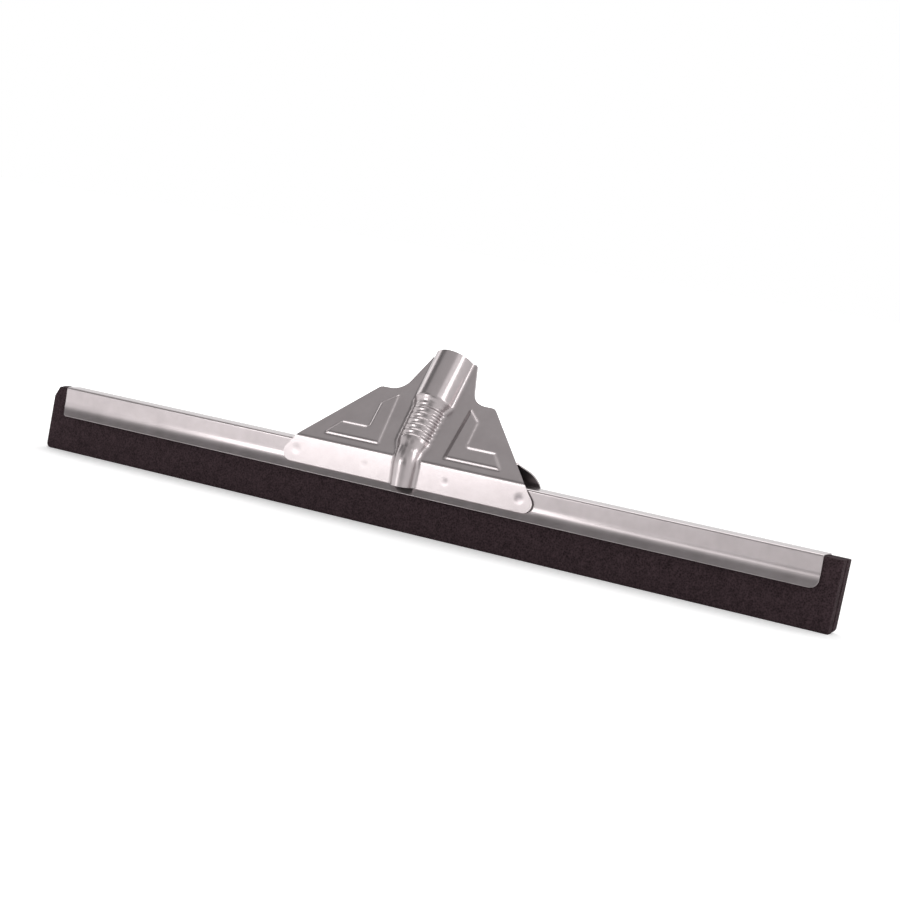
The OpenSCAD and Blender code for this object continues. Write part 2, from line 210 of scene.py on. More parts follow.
RAIL_SHEET = 0.8 * MM
SHEET = 0.9 * MM
rail_low, rail_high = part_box("blade_rail")
WALL = rear_high.y + RAIL_SHEET
LIP_HEIGHT = 6 * MM
LIP_BEND = 16 * MM
LIP_FLARE = math.radians(27)
ROOF_BEND = 1.3 * MM
RAIL_CORNERS = 1.2 * MM, 4.5 * MM
INNER_WELD, OUTER_WELD = 28.5 * MM, 78.7 * MM
WELD_LINE = rail_high.z - 6.3 * MM
LIP_CUT = 2.3 * MM
RAIL_STEP = 0.6 * MM
RAIL_COLUMNS = 161


def unit(vector):
    """The vector divided by its length."""
    return vector / np.linalg.norm(vector)


def rounded(corners, steps=8):
    """Outline through corners [a, b, radius]. Each corner with a radius becomes an arc about the point on
    its bisector at radius / sin(half its angle), from one side to the other."""
    corners = np.array(corners, float)
    points = []
    for before, corner, after in zip(np.roll(corners, 1, axis=0), corners, np.roll(corners, -1, axis=0)):
        here, radius = corner[:2], corner[2]
        if radius == 0:
            points.append(here[None])
            continue
        to_before, to_after = unit(before[:2] - here), unit(after[:2] - here)
        half = math.acos(to_before @ to_after) / 2
        centre = here + unit(to_before + to_after) * radius / math.sin(half)
        spoke = here + to_before * radius / math.tan(half) - centre
        way = -np.sign(to_before[0] * to_after[1] - to_before[1] * to_after[0])
        angle = way * np.linspace(0, math.pi - 2 * half, steps + 1)[:, None]
        points.append(centre + np.cos(angle) * spoke + np.sin(angle) * [-spoke[1], spoke[0]])
    return np.concatenate(points)


def spread(path, gap):
    """The same path with points no further apart than the gap."""
    runs = [np.linspace(a, b, math.ceil(np.linalg.norm(b - a) / gap), endpoint=False)
            for a, b in zip(path[:-1], path[1:])]
    return np.concatenate(runs + [path[-1:]])


def sheet(name, face, thickness, rim):
    """Sheet of metal whose outer face is the grid face[row, column]. Its inner face lies one thickness
    back along the grid's normal, the cross product of its steps; a wall joins their borders, and a
    bevel takes the burr off the rim."""
    rows, columns = face.shape[:2]
    normal = np.cross(np.gradient(face, axis=1), np.gradient(face, axis=0))
    normal /= np.linalg.norm(normal, axis=2, keepdims=True)
    number = np.arange(rows * columns).reshape(rows, columns)
    corners = [number[:-1, :-1], number[:-1, 1:], number[1:, 1:], number[1:, :-1]]
    outer = np.stack(corners, axis=2).reshape(-1, 4)
    border = np.concatenate([number[0, :-1], number[:-1, -1], number[-1, :0:-1], number[:0:-1, 0]])
    after = np.roll(border, -1)
    inner = rows * columns
    wall = np.stack([after, border, inner + border, inner + after], axis=1)
    faces = np.concatenate([outer, inner + outer[:, ::-1], wall])
    piece = mesh_piece(name, np.concatenate([face, face - thickness * normal]), faces.tolist(), crease=50)
    bevel = piece.modifiers.new("deburred rim", "BEVEL")
    bevel.limit_method = "ANGLE"
    bevel.angle_limit = math.radians(60)
    bevel.width = rim
    bevel.segments = 2
    bevel.harden_normals = True
    return piece


def zinc_plated_steel():
    """Cold-rolled sheet, pressed and then bright zinc plated: a warm silver that mirrors half sharply
    and half softly, with faint rolling lines along the blade and cloudy patches of a duller lustre. Round
    each flange weld a grey smudge of painted shade stands in for the shading of its dent, darker towards
    the right and smaller at the inner welds. Real rolling lines are finer than a pixel and are drawn half
    a millimetre wide so that they show."""
    material, tree, output = shading("bright zinc-plated steel")
    place = add(tree, "ShaderNodeTexCoord").outputs["Object"]
    lines = add(tree, "ShaderNodeMapping", {"Vector": place, "Scale": (0.04, 1.0, 1.0)})
    rolling = add(tree, "ShaderNodeTexNoise", {"Vector": lines.outputs["Vector"], "Scale": 1 / (0.5 * MM),
                                               "Detail": 2.0})
    patches = add(tree, "ShaderNodeTexNoise", {"Vector": place, "Scale": 1 / (14 * MM), "Detail": 2.0})
    colour = add(tree, "ShaderNodeValToRGB", {"Fac": patches.outputs["Fac"]})
    colour.color_ramp.elements[0].position = 0.3
    colour.color_ramp.elements[0].color = linear("#b1a9aa")
    colour.color_ramp.elements[1].position = 0.7
    colour.color_ramp.elements[1].color = linear("#b7afb0")
    side = add(tree, "ShaderNodeVectorMath", {0: place}, operation="ABSOLUTE")
    marks = [add(tree, "ShaderNodeVectorMath", {0: side.outputs["Vector"], 1: (x, WALL + SHEET, WELD_LINE)},
                 operation="DISTANCE").outputs["Value"] for x in (INNER_WELD, OUTER_WELD)]
    faint = add(tree, "ShaderNodeMath", {0: marks[0], 1: 1.5}, operation="MULTIPLY")
    nearest = add(tree, "ShaderNodeMath", {0: faint.outputs["Value"], 1: marks[1]}, operation="MINIMUM")
    along = add(tree, "ShaderNodeSeparateXYZ", {0: place}).outputs["X"]
    # Painted shade round the flange welds: a grey smudge standing in for each dent's shading, stronger
    # towards the right
    dent_shade_strength = add(tree, "ShaderNodeMapRange", {"Value": along, "From Min": -OUTER_WELD, "From Max": OUTER_WELD,
                                            "To Min": 0.1, "To Max": 0.65})
    painted_dent_shade = add(tree, "ShaderNodeMapRange", {"Value": nearest.outputs["Value"], "From Min": 0.8 * MM,
                                              "From Max": 4.0 * MM, "To Min": dent_shade_strength.outputs["Result"],
                                              "To Max": 0.0}, interpolation_type="SMOOTHSTEP")
    colour_with_dent_shade = add(tree, "ShaderNodeMix", {"Factor": painted_dent_shade.outputs["Result"], "A": colour.outputs["Color"],
                                         "B": linear("#7d7679")}, data_type="RGBA")
    grain = add(tree, "ShaderNodeBump", {"Height": rolling.outputs["Fac"], "Strength": 0.25,
                                         "Distance": 0.02 * MM})
    bright, dull = [add(tree, "ShaderNodeBsdfPrincipled", {
        "Base Color": colour_with_dent_shade.outputs["Result"], "Roughness": roughness, "Normal": grain.outputs["Normal"],
        "Metallic": 1.0}) for roughness in (0.15, 0.33)]
    haze = add(tree, "ShaderNodeMapRange", {"Value": patches.outputs["Fac"], "From Min": 0.3,
                                            "From Max": 0.7, "To Min": 0.5, "To Max": 0.6})
    surface = add(tree, "ShaderNodeMixShader", {0: haze.outputs["Result"], 1: bright.outputs["BSDF"],
                                                2: dull.outputs["BSDF"]})
    tree.links.new(surface.outputs["Shader"], output.inputs["Surface"])
    return material


def rail_face():
    """Grid over the channel's outer face: the folded path in Y and Z, from the front lip over the roof to
    the rear lip, carried along X. Its length shrinks near the foot by the rounding of the end corners,
    and the left end of the lip is cut back in a slant."""
    reach = WALL + LIP_HEIGHT * math.tan(LIP_FLARE)
    knee = rail_low.z + LIP_HEIGHT
    path = spread(rounded([
        [-reach, rail_low.z, 0], [-WALL, knee, LIP_BEND], [-WALL, rail_high.z, ROOF_BEND],
        [WALL, rail_high.z, ROOF_BEND], [WALL, knee, LIP_BEND], [reach, rail_low.z, 0]]), RAIL_STEP)
    y, z = path.T[:, :, None]
    left, right = (rail_high.x - eased(z - rail_low.z, corner) for corner in RAIL_CORNERS)
    left = left - LIP_CUT * np.clip((knee - z) / LIP_HEIGHT, 0, 1)
    x = -left + (left + right) * np.linspace(0, 1, RAIL_COLUMNS)
    return np.stack([x, y + 0 * x, z + 0 * x], axis=2)


steel = zinc_plated_steel()
rail = sheet("rail", rail_face(), RAIL_SHEET, rim=0.25 * MM)
rail.data.materials.append(steel)
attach(rail, "root")
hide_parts("blade_rail")


# Rear bracket
# The rear one of two pressed sheets of the same steel. Its wings are spot-welded to the front sheet, and
# below a ridge it slopes down and back to a flange that is welded to the rail. The rear half of the
# socket is pressed out of it, thread and all.

LEAN = math.radians(35)
FOLD_BEND = 2.6 * MM
FOLD = np.array([-WALL, rail_high.z + 2.2 * MM])
RIDGE = 12.8 * MM
MOUTH = 72.5 * MM
WING_FOOT = 80.4 * MM
SHOULDER = np.array([40.5, 45.3]) * MM
SHOULDER_ROUND = 4 * MM
HOLLOW = 12.2 * MM
HOLLOW_ROUND = 12 * MM
NECK = 2.6 * MM
MOUTH_CORNER = 0.3 * MM
FLANGE_FOOT = rail_high.z - 14.3 * MM
FLANGE_BELLY = rail_high.z - 9 * MM
FLANGE_CORNER = WING_FOOT + 4.1 * MM
FLANGE_ROUND = 5 * MM
REAR_SPREAD = WING_FOOT + 8.2 * MM
REAR_WAIST = np.array([WING_FOOT - 0.2 * MM, rail_high.z + 7.3 * MM])
WAIST_ROUND = 12 * MM
BORE = 12.15 * MM
THREAD_FOOT, THREAD_HEAD = 10.8 * MM, 35.1 * MM
DUCT = 8.2 * MM
DUCT_FLARE = 2 * MM
FLARE_FOOT, FLARE_HEAD = 3 * MM, THREAD_FOOT + 1 * MM
THREAD_PITCH = 4.05 * MM
THREAD_DEPTH = 0.9 * MM
THREAD_TAPER = 0.5 * MM
THREAD_START = 0.25
COLLAR = 4.8 * MM
LEFT_FADE = 0.75
LEFT_COSINES = 0.55, 0.95
FILLET = 3 * MM
LEFT_DRAFT = 3.2 * MM
SEAM = 1 * MM
FOLD_STEP = 0.3 * MM
ROW_LAG = 2 * MM
SIDE_SHARE = 0.2
UP_LEAN = np.array([math.sin(LEAN), math.cos(LEAN)])
TO_FRONT = np.array([-math.cos(LEAN), math.sin(LEAN)])


def smooth_step(value, low, high):
    """Rises from 0 at low to 1 at high as 3t^2 - 2t^3."""
    t = np.clip((value - low) / (high - low), 0, 1)
    return t * t * (3 - 2 * t)


def socket_radius(height, angle):
    """Outer radius of the socket at a height along the lean and an angle round it, from +X over the
    front. The pipe widens in two smooth steps, below and above the thread, and evenly along it. There a
    cosine groove is pressed in, which climbs one pitch for each turn and fades out over half a pitch at
    both ends. On the left it loses LEFT_FADE of its depth between two cosines of the angle from -X."""
    widest = BORE + SHEET
    crest = (DUCT + DUCT_FLARE * smooth_step(height, FLARE_FOOT, FLARE_HEAD)
             + THREAD_TAPER * np.clip((height - THREAD_FOOT) / (THREAD_HEAD - THREAD_FOOT), 0, 1)
             + (widest - DUCT - DUCT_FLARE - THREAD_TAPER)
             * smooth_step(height, THREAD_HEAD, THREAD_HEAD + COLLAR))
    turn = (height - THREAD_FOOT) / THREAD_PITCH + angle / (2 * math.pi) - THREAD_START
    quarter = THREAD_PITCH / 4
    fade = (smooth_step(height, THREAD_FOOT - quarter, THREAD_FOOT + quarter)
            * (1 - smooth_step(height, THREAD_HEAD - quarter, THREAD_HEAD + quarter)))
    shallow = 1 - LEFT_FADE * smooth_step(-np.cos(angle), *LEFT_COSINES)
    return crest - THREAD_DEPTH * fade * shallow * (1 - np.cos(2 * math.pi * turn)) / 2


def pipe_section(radius, base, height, arc_angles):
    """Section of a sheet with half a pipe pressed out of it, one row each: x and height over the pipe's
    axis, from one junction to the other. An arc of the pipe's radius runs between two fillets that
    touch it and the sheet's face at height base. The fillet's middle is at the distance
    sqrt((r + f)^2 - (base + f)^2) from the axis, where f is its radius. On the left f grows by
    LEFT_DRAFT beside the thread, so that the wall there runs straight down."""
    fillet_count = 8
    grown = FILLET + LEFT_DRAFT * np.interp(height, [0, THREAD_FOOT, THREAD_HEAD, THREAD_HEAD + COLLAR],
                                            [0, 1, 1, 0])
    ends = []
    for angle, fillet in ((0, FILLET), (math.pi, grown)):
        r = radius(np.full_like(base, angle))
        middle = np.sqrt((r + fillet)**2 - (base + fillet)**2)
        touch = np.arctan2(base + fillet, middle)
        sweep = math.pi + touch + (math.pi / 2 - touch) * np.linspace(0, 1, fillet_count)
        x = middle + fillet * np.cos(sweep)
        h = base + fillet + fillet * np.sin(sweep)
        ends.append((touch, x, h))
    (touch_right, x_right, h_right), (touch_left, x_left, h_left) = ends
    angle = math.pi - touch_left + arc_angles * (touch_left + touch_right - math.pi)
    r = radius(angle)
    x = np.concatenate([-x_left[:, ::-1], (r * np.cos(angle))[:, 1:-1], x_right], axis=1)
    h = np.concatenate([h_left[:, ::-1], (r * np.sin(angle))[:, 1:-1], h_right], axis=1)
    return x, h


def border_rows(outline, count, lag=0):
    """Rows that end on an outline [x, way along the sheet]: the border point of each row, and the row's
    own way along the middle. Rows are spread by the way plus SIDE_SHARE of the sideways step, so level
    stretches of the outline get rows too. The middle lags behind the border by lag * sin(pi * t), so
    that rows climb to a level stretch and don't cross there."""
    step = np.abs(np.diff(outline, axis=0))
    travelled = np.concatenate([[0], np.cumsum(step[:, 1] + SIDE_SHARE * step[:, 0])])
    at = np.linspace(0, travelled[-1], count)
    border = np.stack([np.interp(at, travelled, outline[:, i]) for i in (0, 1)], axis=1)
    t = at / travelled[-1]
    middle = outline[0, 1] + (outline[-1, 1] - outline[0, 1]) * t - lag * np.sin(math.pi * t)
    return border, middle


def wing_border(start):
    """Right-hand border of the wings from a height along the lean up to the mouth: a straight slant, a
    rounded shoulder, a hollow and a narrow neck."""
    wall = BORE + SHEET
    draw = (WING_FOOT - SHOULDER[0]) / SHOULDER[1]
    corners = [[WING_FOOT - start * draw, start, 0], [*SHOULDER, SHOULDER_ROUND],
               [wall + HOLLOW, SHOULDER[1], HOLLOW_ROUND], [wall + NECK, MOUTH, MOUTH_CORNER],
               [0, MOUTH, 0]]
    return rounded(corners, steps=10)[:-1]


def rear_path():
    """Outer face of the rear sheet in Y and Z, from the rail's lip to the mouth: the inner face's folds,
    moved out by the sheet along the path's normal."""
    reach = WALL + LIP_HEIGHT * math.tan(LIP_FLARE)
    ridge = FOLD + RIDGE * UP_LEAN
    inner = spread(rounded([
        [reach, rail_low.z, 0], [WALL, rail_low.z + LIP_HEIGHT, LIP_BEND], [WALL, FOLD[1], FOLD_BEND],
        [*ridge, FOLD_BEND + SHEET], [*(FOLD + MOUTH * UP_LEAN), 0]]), FOLD_STEP)
    along = np.gradient(inner, axis=0)
    along /= np.linalg.norm(along, axis=1, keepdims=True)
    return inner + SHEET * along @ np.array([[0, -1], [1, 0]])


def rear_face():
    """Grid over the rear sheet's outer face, rows from the flange's foot to the mouth, columns from right
    to left seen from the front. Flat parts follow the folded path. The pipe's section stands on the
    leaning plane, and where the slope rises past it, the higher of the two holds, with a soft seam."""
    skirt_rows, wing_rows, pipe_columns, wing_columns = 66, 150, 40, 40
    path = rear_path()
    way = np.concatenate([[0], np.cumsum(np.linalg.norm(np.diff(path, axis=0), axis=1))])
    lean_height = (path - FOLD) @ UP_LEAN
    ridge_z = FOLD[1] + RIDGE * UP_LEAN[1]
    wing = wing_border(RIDGE)
    skirt = rounded([[0, FLANGE_FOOT, 0], [FLANGE_CORNER, FLANGE_FOOT, FLANGE_ROUND],
                     [REAR_SPREAD, FLANGE_BELLY, FLANGE_ROUND], [*REAR_WAIST, WAIST_ROUND],
                     [wing[0, 0], ridge_z, 0]])[1:]
    skirt[:, 1] = np.interp(skirt[:, 1], path[:, 1], way)
    wing[:, 1] = np.interp(wing[:, 1], lean_height, way)
    lower, lower_middle = border_rows(skirt, skirt_rows)
    upper, upper_middle = border_rows(wing, wing_rows, ROW_LAG)
    border = np.concatenate([lower[:-1], upper])
    middle = np.concatenate([lower_middle[:-1], upper_middle])

    height = np.interp(middle, way, lean_height)[:, None]
    base = np.interp(middle, way, -((path - FOLD) @ TO_FRONT))[:, None]
    arc = np.linspace(0, 1, pipe_columns)[None]
    x, h = pipe_section(lambda angle: socket_radius(height, -angle), np.full_like(base, SHEET), height, arc)
    # The softness divides below, so it never reaches 0
    softness = np.clip(base - SHEET, SEAM / 1000, SEAM)
    excess = np.clip(h - base, -softness, None)
    h = base + np.where(excess < softness, (excess + softness)**2 / (4 * softness), excess)
    pipe = np.stack([x, FOLD[0] + height * UP_LEAN[0] - h * TO_FRONT[0],
                     FOLD[1] + height * UP_LEAN[1] - h * TO_FRONT[1]], axis=2)

    share = np.linspace(0, 1, wing_columns + 1)[1:]
    slid = middle[:, None] + (border[:, 1:] - middle[:, None]) * share**2
    y, z = np.interp(slid, way, path[:, 0]), np.interp(slid, way, path[:, 1])
    right = np.stack([x[:, -1:] + (border[:, :1] - x[:, -1:]) * share, y, z], axis=2)
    left = np.stack([x[:, :1] - (border[:, :1] + x[:, :1]) * share, y, z], axis=2)
    return np.concatenate([left[:, ::-1], pipe, right], axis=1)[:, ::-1]


rear = sheet("rear_sheet", rear_face(), SHEET, rim=0.15 * MM)
rear.data.materials.append(steel)
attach(rear, "root")
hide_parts("rear_bracket")


# Front bracket
# The front sheet, pressed in one stroke from the same steel and welded to the rail by its flange. It has
# wings that lean back, the front half of the socket with its thread and drain channel, and two raised
# panels that stiffen the wings.

ELBOW = 12 * MM
ELBOW_REACH = ELBOW * math.tan(LEAN / 2)
PANEL_RISE = 0.9 * MM
PANEL = rounded(np.array([[22.1, 4.2, 1.5], [64, 4.2, 1.5], [54.5, 16, 1.5], [35.3, 16, 1.5],
                          [35.3, 33.7, 1.5], [24.7, 43.2, 1.5]]) * MM, steps=5)
RAMP, FOOT_RAMP = 2 * MM, 2.2 * MM
LEFT_RAMP, RIGHT_RAMP = 1.6 * MM, 3 * MM
DENT_RADII = np.array([3, 4]) * MM
DENT_DEPTHS = np.array([0.05, 0.12]) * MM
FRONT_SPREAD = WING_FOOT + 8.9 * MM
FLANGE_LEAN = 0.95 * MM
NARROWING = 0.9 * MM


def pressed_panel(x, height):
    """How far the panels raise the sheet at a place on the leaning plane. Inside the outline the rise
    grows in a ramp with the distance to the nearest side. The ramp is 2 mm wide, 2.2 mm along the level
    foot, and next to the socket 1.6 mm on the left and 3 mm on the right; outside there is no rise."""
    a, b = PANEL, np.roll(PANEL, -1, axis=0)
    side = b - a
    to_x, to_h = np.abs(x)[..., None] - a[:, 0], height[..., None] - a[:, 1]
    t = np.clip((to_x * side[:, 0] + to_h * side[:, 1]) / (side**2).sum(axis=1), 0, 1)
    distance = np.hypot(to_x - t * side[:, 0], to_h - t * side[:, 1])
    beside = np.where(x > 0, RIGHT_RAMP, LEFT_RAMP)[..., None]
    level = np.clip(side[:, 0] / np.hypot(side[:, 0], side[:, 1]), 0, 1)
    ramp = np.where(side[:, 1] < 0, beside, RAMP + (FOOT_RAMP - RAMP) * level)
    rising = (a[:, 1] > height[..., None]) != (b[:, 1] > height[..., None])
    slant = side[:, 0] / np.where(side[:, 1] == 0, 1, side[:, 1])
    crossing = a[:, 0] + (height[..., None] - a[:, 1]) * slant
    inside = (rising & (np.abs(x)[..., None] < crossing)).sum(axis=-1) % 2 == 1
    share = np.clip(distance / ramp, 0, 1).min(axis=-1)
    return PANEL_RISE * np.where(inside, 0.5 * share + 0.5 * smooth_step(share, 0, 1), 0)


def weld_dents(x, z):
    """How far the electrodes have sunk the flange at a place: a bowl (1 - d^2)^2, where d is the distance
    from a weld in electrode radii. The outer welds were pressed harder, and those on the right twice as
    hard as those on the left."""
    away = np.hypot(np.abs(x)[..., None] - [INNER_WELD, OUTER_WELD], z[..., None] - WELD_LINE) / DENT_RADII
    bowls = (DENT_DEPTHS * np.clip(1 - away**2, 0, None)**2).sum(axis=-1)
    return np.where(x > 0, bowls, bowls / 2)


def flange_flare(z):
    """How far the flange stands off the plumb wall at a height: it leans out evenly towards its foot,
    which rests on the rail's flared lip."""
    return FLANGE_LEAN * np.clip((FOLD[1] - z) / (FOLD[1] - FLANGE_FOOT), 0, None)


def fold_distance(angle):
    """Distance of the sheet's face from the elbow's middle along a spoke: two straight faces,
    (elbow + sheet) / cos, joined by the fold's arc."""
    straight = (ELBOW + SHEET) / np.cos(np.minimum(angle, LEAN - angle))
    bend = FOLD_BEND + SHEET
    inset = ELBOW - FOLD_BEND
    start = math.atan(inset * math.tan(LEAN / 2) / (ELBOW + SHEET))
    spoke = inset / math.cos(LEAN / 2)
    turn = angle - LEAN / 2
    arc = spoke * np.cos(turn) + np.sqrt(np.clip(bend**2 - (spoke * np.sin(turn))**2, 0, None))
    return np.where((angle > start) & (angle < LEAN - start), arc, straight)


def front_face():
    """Grid over the front sheet's outer face, rows from the flange's foot to the mouth, columns from left
    to right. Rows stand square to the drain channel, fan out round the elbow and lean with the socket.
    Each is the pipe's section in the middle and runs straight out to the border on both sides. Towards
    its foot the channel narrows by NARROWING and stands off with the flange."""
    skirt_rows, wing_rows, pipe_columns, wing_columns = 24, 110, 44, 110
    foldline = FOLD[1] - ELBOW_REACH
    skirt = rounded([[0, FLANGE_FOOT, 0], [FLANGE_CORNER, FLANGE_FOOT, FLANGE_ROUND],
                     [FRONT_SPREAD, FLANGE_BELLY, FLANGE_ROUND], [WING_FOOT, FOLD[1], 0]])[1:]
    fold_x = np.interp(foldline, skirt[-2:, 1], skirt[-2:, 0])
    skirt[-1] = fold_x, foldline
    wing = wing_border(ELBOW_REACH)
    lower, lower_z = border_rows(skirt, skirt_rows)
    upper, upper_h = border_rows(wing, wing_rows, ROW_LAG)
    # Shares of the lean, closest in the middle, where the fold's arc is
    turned = np.concatenate([np.linspace(0, 0.4, 7)[1:-1], np.linspace(0.4, 0.6, 9),
                             np.linspace(0.6, 1, 7)[1:-1]])
    angle = LEAN * turned
    fold_border = np.interp(angle, [0, LEAN / 2, LEAN], [fold_x, WING_FOOT, wing[0, 0]])

    hub = np.array([ELBOW - WALL, foldline])
    spoke = np.stack([-np.cos(angle), np.sin(angle)], axis=1)
    axis = np.concatenate([np.stack([np.full_like(lower_z, -WALL), lower_z], axis=1),
                           hub + ELBOW * spoke, FOLD + upper_h[:, None] * UP_LEAN])
    outward = np.concatenate([np.tile([-1.0, 0.0], (skirt_rows, 1)), spoke,
                              np.tile(TO_FRONT, (wing_rows, 1))])
    onward = np.concatenate([np.tile([0.0, 1.0], (skirt_rows, 1)), 0 * spoke,
                             np.tile(UP_LEAN, (wing_rows, 1))])
    flare = np.concatenate([flange_flare(lower_z), flange_flare(foldline + (ELBOW + SHEET) * np.tan(angle)),
                            0 * upper_h])[:, None]
    level = np.concatenate([0 * lower_z + SHEET, fold_distance(angle) - ELBOW, 0 * upper_h + SHEET])
    base = level[:, None] + flare
    height = np.concatenate([0 * lower_z, 0 * angle, upper_h])[:, None]
    border_x = np.concatenate([lower[:, 0], fold_border, upper[:, 0]])[:, None]
    slide = np.concatenate([lower[:, 1] - lower_z, 0 * angle, upper[:, 1] - upper_h])[:, None]

    narrowing = np.clip(NARROWING * (foldline - axis[:, 1:]) / (foldline - FLANGE_FOOT), 0, None)
    forward = flare + narrowing

    x, h = pipe_section(lambda turn: socket_radius(height, turn) - narrowing, base - forward, height,
                        np.linspace(0, 1, pipe_columns)[None])
    h = h + forward
    share = np.linspace(0, 1, wing_columns + 1)[1:]
    wide_right = x[:, -1:] + (border_x - x[:, -1:]) * share
    wide_left = x[:, :1] - (border_x + x[:, :1]) * share
    slid = slide * share**2
    flat = base + 0 * slid
    flange = slice(0, skirt_rows)
    flat[flange] = SHEET + flange_flare(lower_z[:, None] + slid[flange])

    x = np.concatenate([wide_left[:, ::-1], x, wide_right], axis=1)
    h = np.concatenate([flat[:, ::-1], h, flat], axis=1)
    still = np.zeros((len(base), x.shape[1] - 2 * wing_columns))
    shift = np.concatenate([slid[:, ::-1], still, slid], axis=1)
    leaning = height > 0
    h = h + np.where(leaning, pressed_panel(x, height + shift), 0)
    h = h - np.where(leaning, 0, weld_dents(x, axis[:, 1:] + shift))
    y = axis[:, :1] + h * outward[:, :1] + shift * onward[:, :1]
    z = axis[:, 1:] + h * outward[:, 1:] + shift * onward[:, 1:]
    return np.stack([x, y, z], axis=2)


front = sheet("front_sheet", front_face(), SHEET, rim=0.25 * MM)
front.data.materials.append(steel)
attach(front, "root")
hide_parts("front_bracket")


# Spot welds
# Where two sheets were clamped between copper electrodes, a button of steel has melted and set between
# them. Nothing of it shows from outside but the dents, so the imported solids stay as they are.


def fused_steel():
    """Mild steel that melted and set: a dull blue-grey with a fine cast grain of about a third of a
    millimetre and a rough break."""
    material, tree, output = shading("fused weld steel")
    place = add(tree, "ShaderNodeTexCoord").outputs["Object"]
    grain = add(tree, "ShaderNodeTexNoise", {"Vector": place, "Scale": 1 / (0.35 * MM), "Detail": 4.0})
    colour = add(tree, "ShaderNodeValToRGB", {"Fac": grain.outputs["Fac"]})
    colour.color_ramp.elements[0].color = linear("#77787c")
    colour.color_ramp.elements[1].color = linear("#a2a2a6")
    bump = add(tree, "ShaderNodeBump", {"Height": grain.outputs["Fac"], "Strength": 0.5,
                                        "Distance": 0.05 * MM})
    surface = add(tree, "ShaderNodeBsdfPrincipled", {
        "Base Color": colour.outputs["Color"], "Normal": bump.outputs["Normal"], "Roughness": 0.55,
        "Metallic": 1.0})
    tree.links.new(surface.outputs["BSDF"], output.inputs["Surface"])
    return material


weld_steel = fused_steel()
for name in ("front_flange_welds", "rear_flange_welds", "wing_welds"):
    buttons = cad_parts[name].data.materials
    buttons.clear()
    buttons.append(weld_steel)


# Floor and light
# A pale floor runs out of sight under an even white surround, which dims overhead and straight in front
# and has two dark screens at the front left. Low softboxes there are mirrored by the walls and flanges,
# those at the right and left by the round socket, and a broad one hangs above.

FLOOR_REACH = 9
LIT = 0.78


def pale_floor():
    """Matt pale board. LIT is the share of white that it reflects by itself. To the camera a glow is
    added that makes it up to white and leaves the shadow; far from the object the glow alone is white.
    Metal mirrors a weaker glow, most at the left, so that the rail's wall darkens towards the right."""
    material, tree, output = shading("matt pale board")
    ray = add(tree, "ShaderNodeLightPath").outputs
    place = add(tree, "ShaderNodeTexCoord").outputs["Object"]
    reach = add(tree, "ShaderNodeVectorMath", {0: place}, operation="LENGTH")
    far = add(tree, "ShaderNodeMapRange", {"Value": reach.outputs["Value"], "From Min": 0.35,
                                           "From Max": 1.0}, interpolation_type="SMOOTHSTEP")
    mirrored = add(tree, "ShaderNodeMath", {0: ray["Is Glossy Ray"], 1: ray["Is Transmission Ray"]},
                   operation="MAXIMUM")
    along = add(tree, "ShaderNodeSeparateXYZ", {0: place}).outputs["X"]
    fade = add(tree, "ShaderNodeMapRange", {"Value": along, "From Min": -0.35, "From Max": 0.15,
                                            "To Min": 0.38, "To Max": 0.0}, interpolation_type="SMOOTHSTEP")
    reflected = add(tree, "ShaderNodeMath", {0: mirrored.outputs["Value"], 1: fade.outputs["Result"]},
                    operation="MULTIPLY")
    level = add(tree, "ShaderNodeMapRange", {"Value": far.outputs["Result"], "To Min": 1 - LIT,
                                             "To Max": 1.0})
    strength = add(tree, "ShaderNodeMath", {0: level.outputs["Result"], 1: ray["Is Camera Ray"],
                                            2: reflected.outputs["Value"]}, operation="MULTIPLY_ADD")
    board = add(tree, "ShaderNodeBsdfDiffuse", {"Color": linear("#f2f2f2")})
    glow = add(tree, "ShaderNodeEmission", {"Color": (1, 1, 1, 1), "Strength": strength.outputs["Value"]})
    both = add(tree, "ShaderNodeAddShader", {0: board.outputs["BSDF"], 1: glow.outputs["Emission"]})
    tree.links.new(both.outputs["Shader"], output.inputs["Surface"])
    return material


floor_corners = FLOOR_REACH * np.array([[-1, -1, 0], [1, -1, 0], [1, 1, 0], [-1, 1, 0]], float)
floor = mesh_piece("floor", floor_corners, [(0, 1, 2, 3)])
floor.data.materials.append(pale_floor())


def surround():
    """White surround: full strength round the horizon and less overhead towards the front. Each screen
    is a round patch about a direction that fades in between two cosines of the angle from it: one
    straight in front, one that the socket's left flank mirrors, and one that the rail's lips mirror."""
    world = bpy.data.worlds.new("white surround")
    world.use_nodes = True
    tree = world.node_tree
    tree.nodes.clear()
    way = add(tree, "ShaderNodeTexCoord").outputs["Generated"]
    axes = add(tree, "ShaderNodeSeparateXYZ", {0: way}).outputs
    crown = add(tree, "ShaderNodeMapRange", {"Value": axes["Y"], "From Min": 0.0, "From Max": 0.5,
                                             "To Min": 0.64, "To Max": 1.0}, interpolation_type="SMOOTHSTEP")
    dome = add(tree, "ShaderNodeMapRange", {"Value": axes["Z"], "From Min": 0.2, "From Max": 0.65,
                                            "To Min": 1.0, "To Max": crown.outputs["Result"]},
               interpolation_type="SMOOTHSTEP")
    strength = dome.outputs["Result"]
    for direction, rim, core in [((0.05, -1.0, 0.0), 0.86, 0.96), ((-0.82, -0.1, 0.56), 0.92, 0.985),
                                 ((-0.49, -0.68, 0.54), 0.93, 0.985)]:
        toward = add(tree, "ShaderNodeVectorMath", {0: way, 1: direction}, operation="DOT_PRODUCT")
        screen = add(tree, "ShaderNodeMapRange", {"Value": toward.outputs["Value"], "From Min": rim,
                                                  "From Max": core, "To Min": 1.0, "To Max": 0.3},
                     interpolation_type="SMOOTHSTEP")
        strength = add(tree, "ShaderNodeMath", {0: strength, 1: screen.outputs["Result"]},
                       operation="MULTIPLY").outputs["Value"]
    glow = add(tree, "ShaderNodeBackground", {"Color": (1, 1, 1, 1), "Strength": strength})
    add(tree, "ShaderNodeOutputWorld", {"Surface": glow.outputs["Background"]})
    return world


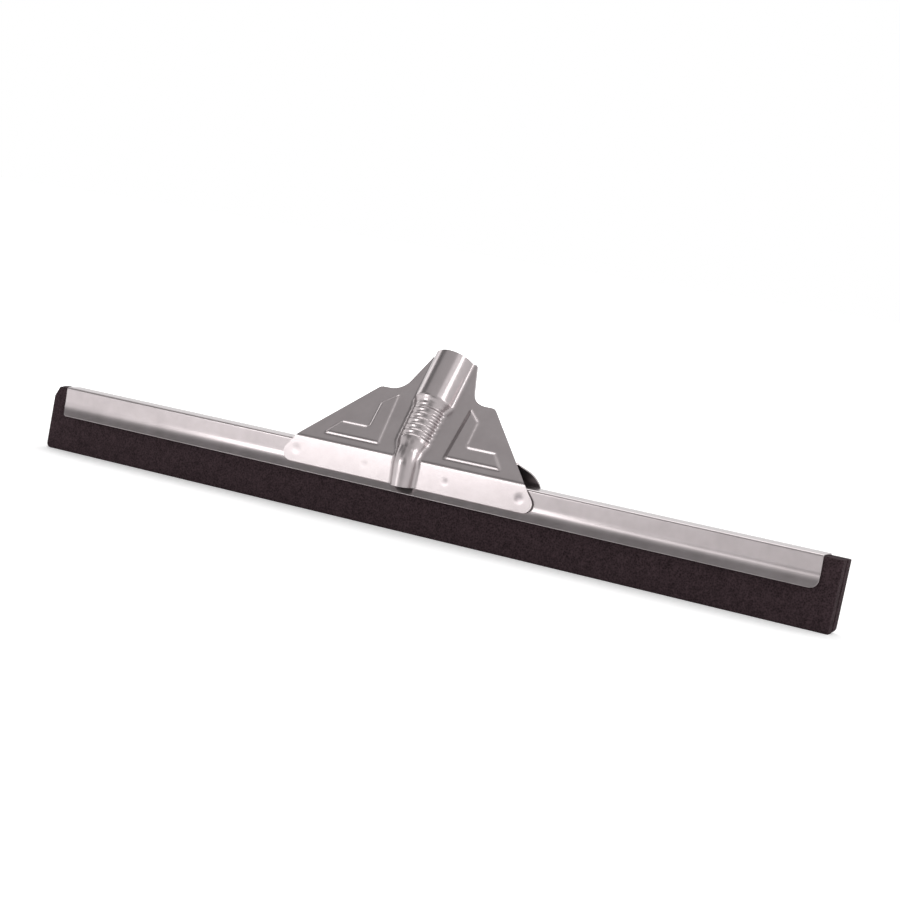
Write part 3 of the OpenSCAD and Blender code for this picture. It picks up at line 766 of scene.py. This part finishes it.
bpy.context.scene.world = surround()


def softbox(name, place, target, width, height, radiance):
    """Rectangle of even light at a place, turned towards a target; its power is radiance * pi * area."""
    lamp = bpy.data.lights.new(name, "AREA")
    lamp.shape = "RECTANGLE"
    lamp.size, lamp.size_y = width, height
    lamp.energy = radiance * math.pi * width * height
    box = bpy.data.objects.new(name, lamp)
    box.location = place
    box.rotation_euler = (Vector(target) - Vector(place)).to_track_quat("-Z", "Y").to_euler()
    bpy.context.scene.collection.objects.link(box)


for name, place, aim_height, width, height, radiance in [
        ("low softbox", (-0.61, -1.04, 0.165), 0.04, 0.42, 0.28, 3.9),
        ("strip softbox", (-0.27, -1.17, 0.31), 0.04, 0.4, 0.17, 1.1),
        ("right softbox", (1.15, -0.25, 0.7), 0.06, 0.45, 0.75, 3.4),
        ("high softbox", (0.78, -0.58, 1.14), 0.06, 0.5, 0.45, 0.8),
        ("left softbox", (-1.1, 0.3, 0.45), 0.05, 0.35, 0.5, 1.1),
        ("top softbox", (-0.3, 0.6, 1.4), 0.04, 1.3, 0.9, 2.2)]:
    softbox(name, place, (0, 0, aim_height), width, height, radiance)


# Camera
# The photograph was taken from the right front, about 1.2 m away and 0.2 m above the floor, and tilted to
# one side. The angles and distances were fitted to the four corners of the bar.

TURN, RISE, ROLL = math.radians(28.5), math.radians(6.49), math.radians(8.68)
DISTANCE, SIDE, LIFT = 1223.06 * MM, -25.94 * MM, -7.4 * MM
FOCAL_PIXELS, PICTURE_PIXELS = 2030.91, 900
SENSOR = 36
backward = np.array([math.sin(TURN) * math.cos(RISE), -math.cos(TURN) * math.cos(RISE), math.sin(RISE)])
level_right = np.array([math.cos(TURN), math.sin(TURN), 0])
level_up = np.cross(backward, level_right)
right = math.cos(ROLL) * level_right + math.sin(ROLL) * level_up
up = -math.sin(ROLL) * level_right + math.cos(ROLL) * level_up
aim = np.array([0, -WALL, rail_high.z])
eye = aim + DISTANCE * backward - SIDE * right - LIFT * up
lens = bpy.data.cameras.new("camera")
lens.sensor_width = SENSOR
lens.lens = SENSOR * FOCAL_PIXELS / PICTURE_PIXELS
camera = bpy.data.objects.new("camera", lens)
camera.matrix_world = Matrix([[right[i], up[i], backward[i], eye[i]] for i in range(3)] + [[0, 0, 0, 1]])
bpy.context.scene.collection.objects.link(camera)
bpy.context.scene.camera = camera
bpy.context.scene.view_settings.view_transform = "Standard"
